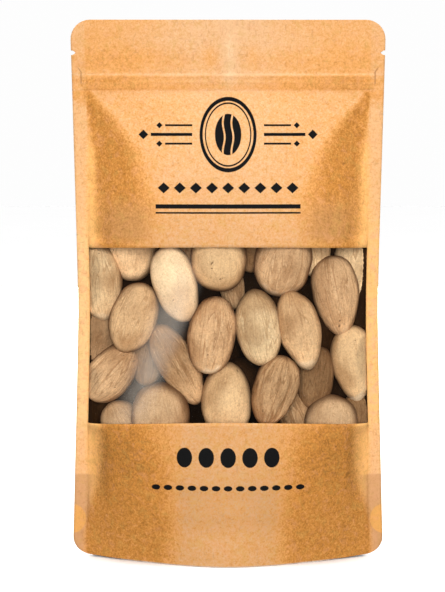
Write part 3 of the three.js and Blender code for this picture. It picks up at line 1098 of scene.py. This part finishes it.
def paper_grid(form):
    """Rows and columns of the paper: knots, and how many steps lie between them."""
    sizes = form.sizes
    rows = Place(
        [
            0, FOOT_CORNER, 28 * MM, sizes.window_bottom, sizes.window_top,
            sizes.strip_bottom - 2 * MM, sizes.strip_top + MM,
            NOTCH_HEIGHT - NOTCH_HALF, NOTCH_HEIGHT + NOTCH_HALF,
            sizes.height - TOP_CORNER, sizes.height,
        ],
        ROW_STEPS,
        {0: lambda t: 1 - math.cos(t * math.pi / 2), 9: lambda t: math.sin(t * math.pi / 2)},
    )
    edge = 1 - WINDOW_SIDE / sizes.waist_half
    columns = Place([-2, -1, -edge, edge, 1, 2], COLUMN_STEPS, {2: gathered_share})
    return rows, columns


def gathered_share(t):
    """Steps that gather a little towards both ends of a span."""
    return lerp(t, (1 - math.cos(t * math.pi)) / 2, 0.55)


def in_window(centre, rows, columns):
    """Whether a face of the box belongs to the window's opening."""
    across = columns.holds(WINDOW_COLUMNS, centre.x)
    return centre.y < -ON_PANEL and across and rows.holds(WINDOW_ROWS, centre.z)


def paper_point(form, rows, columns, spot):
    """Where a point of the box goes: onto a panel, or under the pouch."""
    across = columns.value(columns.index_at(spot.x))
    seam = clamp(abs(across), 0, 1)
    number, share = rows.span(rows.index_at(spot.z))
    knots = list(rows.knots)
    knots[WINDOW_ROWS] = form.window_bottom(seam)
    knots[WINDOW_ROWS + 1] = form.window_top(seam)
    z = lerp(knots[number], knots[number + 1], share)
    outer = form.outline_half(z)
    inner = min(form.seam_half(z), outer)
    x = across * inner
    if abs(across) > 1:
        x = math.copysign(lerp(inner, outer, abs(across) - 1), across)
    if abs(spot.y) < ON_PANEL:
        return x, *gusset_point(form, x, spot.y)
    return x, form.skin(x, z, math.copysign(1, spot.y)), z + form.lift(x, z)


def divide_underside(bm, layers):
    """Divides the flat strip under the box, front to back, into layers."""
    low = [edge for edge in bm.edges if all(vert.co.z < -ON_PANEL for vert in edge.verts)]
    through = [edge for edge in low if abs(edge.verts[0].co.y - edge.verts[1].co.y) > 1]
    bmesh.ops.subdivide_edges(bm, edges=through, cuts=layers - 1, use_grid_fill=True)


def gusset_point(form, x, v):
    """A point of the underside at a place across, v from -1 to 1 front to back."""
    along = clamp(abs(x) / form.seam_half(0))
    edge = form.depth(x, 0)
    inner = max(edge - GUSSET_SKIN, THINNEST)
    share = abs(v)
    lift = form.lift(x, 0)
    if share > 1 - SKIRT_SHARE:
        up = clamp((1 - share) / SKIRT_SHARE * 1.15 - 0.15)
        step = smoothstep(1 - share, 0, SKIRT_SHARE * 0.13)
        z = max(lift, lift + up * (form.gusset_roof(along, 1) - lift))
        return math.copysign(lerp(edge, inner, step), v), z
    inside = share / (1 - SKIRT_SHARE)
    z = max(lift, form.gusset_roof(along, inside))
    return v / (1 - SKIRT_SHARE) * max(form.depth(x, z) - GUSSET_SKIN, THINNEST), z


def open_window(bm, form, faces):
    """Cuts the window: a rim as thick as the paper, then the hollow behind it."""
    for stage in ("rim", "under", "back"):
        grown = bmesh.ops.extrude_face_region(bm, geom=faces)
        bmesh.ops.delete(bm, geom=faces, context="FACES")
        faces = [item for item in grown["geom"] if isinstance(item, bmesh.types.BMFace)]
        for item in grown["geom"]:
            if isinstance(item, bmesh.types.BMVert):
                item.co = hollow_point(form, item.co, stage)
    return faces


def hollow_point(form, spot, stage):
    """Where a point of the window goes at each stage of the cut."""
    x, y, z = spot
    if stage == "rim":
        return Vector((x, y + PAPER, z))
    if stage == "back":
        return Vector((x, max(form.depth(x, z) - WALL, 0.3 * MM), z))
    across = clamp(x / (form.seam_half(z) - WINDOW_SIDE), -1, 1)
    low = form.window_bottom(abs(across))
    high = form.window_top(abs(across))
    up = clamp((z - low) / (high - low))
    aside = smoothstep(abs(across), 0.78, 0.9)
    floor = lerp(HOLLOW_BOTTOM, low - HOLLOW_SIDE, aside)
    z = lerp(floor, lerp(HOLLOW_TOP, high + HOLLOW_SIDE, aside), up)
    x = across * (form.seam_half(z) - HOLLOW_END)
    return Vector((x, -max(form.depth(x, z) - HOLLOW_MARGIN, TIP_DEPTH), z))


class POUCH_OT_paper(Operator):
    """Build the paper pouch: both panels, seals, strip, gusset and window opening"""

    bl_idname = "pouch.paper"
    bl_label = "Paper pouch"
    LAYERS = 22

    def execute(self, context):
        form = PouchForm(context.scene.pouch_sizes)
        colours = context.scene.pouch_colours
        rows, columns = paper_grid(form)
        bm = grid_box(columns.count, rows.count)
        divide_underside(bm, self.LAYERS)
        window = [face for face in bm.faces if in_window(face.calc_center_median(), rows, columns)]
        for vert in bm.verts:
            vert.co = paper_point(form, rows, columns, vert.co)
        inner = open_window(bm, form, window)
        bmesh.ops.recalc_face_normals(bm, faces=bm.faces)
        hidden = {vert for face in inner for vert in face.verts}
        for face in bm.faces:
            if any(vert in hidden for vert in face.verts):
                face.material_index = 1
        mark_paper(bm, form)
        materials = [kraft_finish(colours), lining_finish(colours)]
        finish_piece(bm, "paper_pouch", materials, "pouch")
        return {"FINISHED"}


def top_shade(form, across, height):
    """Painted shade and highlight of the flat top and the strip, with sizes in millimetres."""
    low, high = form.sizes.strip_bottom / MM, form.sizes.strip_top / MM
    shade = lerp(0.03, 0.36, smoothstep(abs(across), 4, 40)) + 0.18 * bell(height - 176, 4.5)
    for place, level, wide, tall, depth in TOP_MARKS:
        shade += depth * bell(across - place, wide) * bell(height - level, tall)
    shade += 0.2 * plateau(height, low - 1, low, high - 0.6, high + 0.3)
    shade += 0.14 * bell(height - low - 0.6, 1.2)
    shade += 0.3 * bell(height - 169.2, 0.5) * smoothstep(abs(across), 34, 42)
    return shade - 0.22 * bell(height - high - 0.2, 0.45)


def paper_shade(form, x, z):
    """Painted shade of the paper: 0 on flat paper, 1 where it folds over."""
    across, height = x / MM, z / MM
    low = form.sizes.strip_bottom / MM
    middle = lerp(0.3, 0.2, smoothstep(height, 20, 120)) + 0.05 * bell(height - 112, 8)
    middle = lerp(middle, 0.2, smoothstep(height, 130, 158))
    middle += 0.12 * smoothstep(abs(across), 10, 36)
    panel = lerp(middle, 1, form.fold_shade(x, z))
    below_strip = 1 - smoothstep(height, low - 1.5, low)
    shade = lerp(top_shade(form, across, height), panel, below_strip)
    # Painted shade low on the panels beside the window
    shadowed = 0.34 * bell(height - 39, 14) * bell(abs(across) - 37, 14)
    return clamp(shade, -0.5, 1.2) + shadowed


def mark_paper(bm, form):
    """Stores the paper's painted shade, where it is sealed and its painted light where it turns
    away.
    """
    names = ("shade", "seal", "steep_light")
    shade, seal, steep_light = [bm.verts.layers.float.new(name) for name in names]
    bm.normal_update()
    for vert in bm.verts:
        x, _, z = vert.co
        inside, soft = table_row(SEAL_FADE, z)
        seam = form.seam_half(z)
        inward = abs(seam - abs(x))
        beside = (1 - smoothstep(inward, 3 * MM, 8.5 * MM)) * plateau(z, *STEEP_HEIGHTS)
        share = 1.1 + 1.6 * (1 - smoothstep(inward, 0.5 * MM, 3.5 * MM))
        vert[shade] = paper_shade(form, x, z)
        vert[seal] = smoothstep(abs(x), seam - inside - soft, seam - inside + soft)
        # Painted light where the paper beside its seals turns steeply away from the front
        vert[steep_light] = clamp(share * (1 - abs(vert.normal.y)), 0, 0.9) * beside


class POUCH_OT_film(Operator):
    """Build the clear film that closes the window from inside"""

    bl_idname = "pouch.film"
    bl_label = "Window film"
    COLUMNS = 90
    ROWS = 60

    def execute(self, context):
        form = PouchForm(context.scene.pouch_sizes)
        bm = grid_box(self.COLUMNS, self.ROWS)
        for vert in bm.verts:
            u, v, w = vert.co
            across = math.sin(u * math.pi / 2)
            low = form.window_bottom(abs(across)) - FILM_TUCK
            high = form.window_top(abs(across)) + FILM_TUCK
            z = lerp(low, high, (w + 1) / 2)
            x = across * (form.seam_half(z) - FILM_SIDE)
            skin = form.skin(x, z, -1) + FILM_DEPTH
            vert.co = (x, skin + (FILM_THICK if v > 0 else 0), z)
        finish_piece(
            bm, "window_clear", [film_finish(context.scene.pouch_colours)],
            "window_film",
        )
        return {"FINISHED"}


class Nutmeg:
    """One nutmeg: its place, size, lean, tone and how far back it rests."""

    def __init__(
        self, across, height, width, length, lean, taper, point, tone, tip=0.0, darkens=None
    ):
        self.x = across * MM
        self.z = height * MM
        self.width = width * MM
        self.length = length * MM
        self.lean = math.radians(lean)
        self.taper = taper
        self.point = point
        self.tip = tip
        self.darkens = None if darkens is None else math.radians(darkens)
        self.tone, self.furrowed = TONES[tone]
        self.rest = 0.0

    def half_depth(self, dx, dz):
        """Half its thickness, front to back, at an offset from its middle."""
        across = (dx * math.cos(self.lean) - dz * math.sin(self.lean)) / (self.width / 2)
        along = (dx * math.sin(self.lean) + dz * math.cos(self.lean)) / (self.length / 2)
        return self.width / 2 * math.sqrt(max(0, 1 - across**2 - along**2))

    def settle(self, form, placed):
        """Lays it against the film and nestles it into those placed before it."""
        self.rest = -form.sizes.foot_depth
        for ring in range(SETTLE_RINGS):
            for turn in range(SETTLE_TURNS):
                angle = turn * math.tau / SETTLE_TURNS
                dx = math.cos(angle) * ring / 10 * self.length
                dz = math.sin(angle) * ring / 10 * self.length
                half = self.half_depth(dx, dz)
                if half == 0 or abs(self.x + dx) > form.seam_half(self.z) - 4 * MM:
                    continue
                skin = form.depth(self.x + dx, self.z + dz)
                self.rest = max(self.rest, NUTMEG_GAP - skin + half)
                for other in placed:
                    theirs = other.half_depth(self.x + dx - other.x, self.z + dz - other.z)
                    if theirs > 0:
                        touching = other.rest + theirs + half - NUTMEG_NESTLE
                        self.rest = max(self.rest, touching)


def hidden_nutmegs(rng):
    """Staggered rows of nutmegs behind those that show, closing their gaps with painted shade."""
    layer = []
    for row in range(HIDDEN_ROWS):
        stagger = 6 if row % 2 else 0
        for column in range(HIDDEN_COLUMNS):
            across = (column - 3) * HIDDEN_PITCH + stagger + rng.uniform(-2, 2)
            height = HIDDEN_LOWEST + row * HIDDEN_PITCH + rng.uniform(-2, 2)
            if abs(across) > HIDDEN_REACH:
                continue
            width = rng.uniform(13, 16)
            length = rng.uniform(20, 26)
            lean = rng.uniform(-60, 60)
            layer.append(Nutmeg(across, height, width, length, lean, 0, 0.95, "shadowed"))
    return layer


def furrows(place, round_about, seed):
    """How far a point lies in a long furrow and in a small one, each up to 1."""
    bent = Vector((round_about.x, round_about.y, round_about.z * 0.16))
    bent += 0.7 * Vector((noise.noise(place / 5), noise.noise(place / 5 + seed), 0))
    crease = 1 - abs(noise.noise(bent * 0.42)) * 6
    minor = 1 - abs(noise.noise(bent * 0.9 + seed)) * 5
    return clamp(crease), clamp(minor)


def nutmeg_painted_light(nutmeg, tint, aside, behind):
    """Its tone at a point with painted light: lighter towards its sides and its lower end."""
    turned = smoothstep(2 * behind / nutmeg.width, 0.03, 0.7)
    upward = 2 * aside.z / nutmeg.length
    painted_gain = min((0.98 + 0.46 * turned) * (1 - 0.16 * upward), BRIGHTEST / tint[0])
    return [channel * painted_gain for channel in tint]


def nutmeg_pale(nutmeg, place, aside):
    """How pale its surface is at a point, in patches and away from where it darkens."""
    pale = 0.45 + 0.6 * noise.noise(place / 8)
    # The side where it darkens is partly its own tone and partly painted shade
    if nutmeg.darkens is not None:
        toward = aside.x * math.cos(nutmeg.darkens) + aside.z * math.sin(nutmeg.darkens)
        pale -= 0.33 * toward / (nutmeg.width / 2)
    return clamp(pale)


def model_nutmeg(bm, form, nutmeg, detail, furrow_depth, layers):
    """Adds one nutmeg: blunt oval, slightly lumpy, with furrows that run lengthwise."""
    rng = random.Random(round(nutmeg.x / MM * 40 + nutmeg.z / MM * 7))
    seed = Vector([rng.uniform(-900, 900) for _ in range(3)])
    strength = nutmeg.furrowed * rng.uniform(0.85, 1.15)
    shift = rng.uniform(0.98, 1.02)
    nub = rng.uniform(0, 0.3)
    tint = [clamp(channel * shift) for channel in nutmeg.tone]
    roll = Matrix.Rotation(rng.uniform(0, math.tau), 3, "Z")
    lean = Matrix.Rotation(nutmeg.lean, 3, "Y")
    centre = Vector((nutmeg.x, nutmeg.rest, nutmeg.z))
    for vert in bmesh.ops.create_icosphere(bm, subdivisions=detail, radius=1)["verts"]:
        up = vert.co.z
        ring = math.hypot(vert.co.x, vert.co.y)
        on_axis = ring <= 0.01
        point = nutmeg.point if up < 0 else (nutmeg.point + UPPER_POINT) / 2
        radius = nutmeg.width / 2 * (0 if on_axis else ring ** (point - 1))
        radius *= 1 - nutmeg.taper * up
        along = math.copysign(abs(up) ** point, up) * nutmeg.length / 2
        along += nub * MM * bell(ring, 0.17) * (1 if up > 0 else 0)
        spot = Vector((vert.co.x * radius, vert.co.y * radius, along)) / MM
        out = Vector((1, 0, 0)) if on_axis else Vector((vert.co.x, vert.co.y, 0)) / ring
        round_about = seed + out * (nutmeg.width / 2 / MM) + Vector((0, 0, along / MM))
        place = seed + spot
        lump = sum(noise.noise(place / size) * height for size, height in LUMPS)
        crease, minor = furrows(place, round_about, seed)
        middle = 1 - abs(up) ** 6
        sink = furrow_depth * strength * (crease + 0.4 * minor) * middle / MM
        skin = spot * (1 + lump)
        skin -= Vector((vert.co.x, vert.co.y, vert.co.z * 0.3)).normalized() * sink
        rested = lean @ (roll @ (skin * MM)) + centre
        aside = rested - centre
        behind = aside.y + nutmeg.width / 2
        tip = nutmeg.tip * smoothstep(-up + 0.25 * noise.noise(place / 3), 0.74, 0.9)
        light = 1 / (1 + (max(0, behind / MM - 3) / 2.6) ** 2)
        vert[layers["seed_place"]] = round_about
        # The stored tone holds painted light, and the light inside holds painted shade
        vert[layers["seed_tone_and_light"]] = (*nutmeg_painted_light(nutmeg, tint, aside, behind), strength)
        vert[layers["furrow"]] = clamp(crease * middle * strength)
        vert[layers["seed_pale"]] = nutmeg_pale(nutmeg, place, aside)
        vert[layers["seed_tip"]] = tip
        vert[layers["light_inside"]] = max(light, 0.8 * tip)
        vert.co = form.kept_inside(rested)


class POUCH_OT_nutmegs(Operator):
    """Build the nutmegs that show behind the film, and the dim ones behind them"""

    bl_idname = "pouch.nutmegs"
    bl_label = "Nutmegs"

    def execute(self, context):
        form = PouchForm(context.scene.pouch_sizes)
        settings = context.scene.nutmeg_sizes
        bm = bmesh.new()
        layers = {
            name: getattr(bm.verts.layers, kind).new(name) for name, kind in NUTMEG_LAYERS.items()
        }
        for row in LOW_NUTMEGS:
            nutmeg = Nutmeg(*row)
            nutmeg.settle(form, [])
            model_nutmeg(bm, form, nutmeg, LOW_DETAIL, settings.furrow, layers)
        placed = []
        for row in NUTMEGS:
            nutmeg = Nutmeg(*row)
            nutmeg.settle(form, placed)
            placed.append(nutmeg)
            model_nutmeg(bm, form, nutmeg, settings.detail, settings.furrow, layers)
        for nutmeg in hidden_nutmegs(random.Random(7)):
            nutmeg.settle(form, placed)
            if nutmeg.rest <= form.depth(nutmeg.x, nutmeg.z) - WALL - nutmeg.width / 2:
                placed.append(nutmeg)
                model_nutmeg(bm, form, nutmeg, HIDDEN_DETAIL, settings.furrow, layers)
        finish_piece(bm, "whole_nutmegs", [nutmeg_finish()], "nutmegs")
        return {"FINISHED"}


# ---------------------------------------------------------------- studio


def add_lamp(kind, name, place, energy):
    """A lamp that points at the middle of the pouch from its place."""
    light = bpy.data.lights.new(name, kind)
    light.energy = energy
    lamp = bpy.data.objects.new(name, light)
    lamp.location = place
    lamp.rotation_euler = (LIT_POINT - Vector(place)).to_track_quat("-Z", "Y").to_euler()
    bpy.context.scene.collection.objects.link(lamp)
    return light


class POUCH_OT_stage(Operator):
    """Set up the floor, the backdrop, the lights and the camera"""

    bl_idname = "pouch.stage"
    bl_label = "Stage and camera"
    FLOOR = 3.0
    DOME = 5.0

    def execute(self, context):
        studio = context.scene.studio_settings
        self.add_floor(context)
        self.add_backdrop(context)
        self.add_lights(studio)
        self.add_camera(context, studio)
        return {"FINISHED"}

    def add_floor(self, context):
        bm = bmesh.new()
        bmesh.ops.create_circle(bm, cap_ends=True, segments=96, radius=self.FLOOR)
        floor = self.add_stage_piece(context, bm, "studio_floor", stage_finish())
        floor.visible_diffuse = False

    def add_backdrop(self, context):
        bm = bmesh.new()
        bmesh.ops.create_uvsphere(bm, u_segments=48, v_segments=24, radius=self.DOME)
        bmesh.ops.reverse_faces(bm, faces=bm.faces)
        dome = self.add_stage_piece(context, bm, "studio_backdrop", backdrop_finish())
        dome.visible_diffuse = False
        dome.visible_glossy = False
        dome.visible_shadow = False

    def add_stage_piece(self, context, bm, name, material):
        mesh = bpy.data.meshes.new(name)
        bm.to_mesh(mesh)
        bm.free()
        mesh.materials.append(material)
        piece = bpy.data.objects.new(name, mesh)
        context.scene.collection.objects.link(piece)
        return piece

    def add_lights(self, studio):
        world = bpy.data.worlds.new("studio_world")
        world.use_nodes = True
        background = world.node_tree.nodes["Background"]
        background.inputs["Color"].default_value = (1, 1, 1, 1)
        background.inputs["Strength"].default_value = studio.world
        bpy.context.scene.world = world
        for name, place in AREA_LIGHTS.items():
            add_lamp("AREA", name, place, studio.key).size = AREA_SIZE
        overhead = add_lamp("SUN", "floor_light", OVERHEAD_PLACE, studio.overhead)
        overhead.angle = OVERHEAD_ANGLE

    def add_camera(self, context, studio):
        camera = bpy.data.cameras.new("studio_camera")
        camera.sensor_width = SENSOR
        camera.sensor_fit = "HORIZONTAL"
        camera.lens = studio.lens
        viewer = bpy.data.objects.new("studio_camera", camera)
        back = studio.distance * math.cos(studio.elevation)
        up = studio.distance * math.sin(studio.elevation)
        viewer.location = (studio.aim_across, -back, studio.aim_height + up)
        viewer.rotation_euler = (math.pi / 2 - studio.elevation, 0, 0)
        context.scene.collection.objects.link(viewer)
        context.scene.camera = viewer
        context.scene.view_settings.view_transform = "Standard"


class POUCH_PT_panel(Panel):
    """Sidebar list of the pieces and their sizes"""

    bl_idname = "POUCH_PT_panel"
    bl_label = "Nutmeg pouch"
    bl_space_type = "VIEW_3D"
    bl_region_type = "UI"
    bl_category = "Pouch"

    def draw(self, context):
        layout = self.layout
        for operator in OPERATORS:
            layout.operator(operator.bl_idname)
        for name in SETTINGS:
            group = getattr(context.scene, name)
            column = layout.column(align=True)
            for key in group.__annotations__:
                column.prop(group, key)


SETTINGS = {
    "pouch_sizes": PouchSizes,
    "pouch_colours": PouchColours,
    "nutmeg_sizes": NutmegSizes,
    "studio_settings": StudioSettings,
}
OPERATORS = (POUCH_OT_paper, POUCH_OT_film, POUCH_OT_nutmegs, POUCH_OT_stage)


def register():
    for group in SETTINGS.values():
        bpy.utils.register_class(group)
    for operator in OPERATORS:
        bpy.utils.register_class(operator)
    bpy.utils.register_class(POUCH_PT_panel)
    for name, group in SETTINGS.items():
        setattr(bpy.types.Scene, name, PointerProperty(type=group))


def unregister():
    for name in SETTINGS:
        delattr(bpy.types.Scene, name)
    bpy.utils.unregister_class(POUCH_PT_panel)
    for operator in reversed(OPERATORS):
        bpy.utils.unregister_class(operator)
    for group in reversed(list(SETTINGS.values())):
        bpy.utils.unregister_class(group)


def main():
    register()
    bpy.ops.pouch.paper()
    bpy.ops.pouch.film()
    bpy.ops.pouch.nutmegs()
    bpy.ops.pouch.stage()


if __name__ == "__main__":
    main()
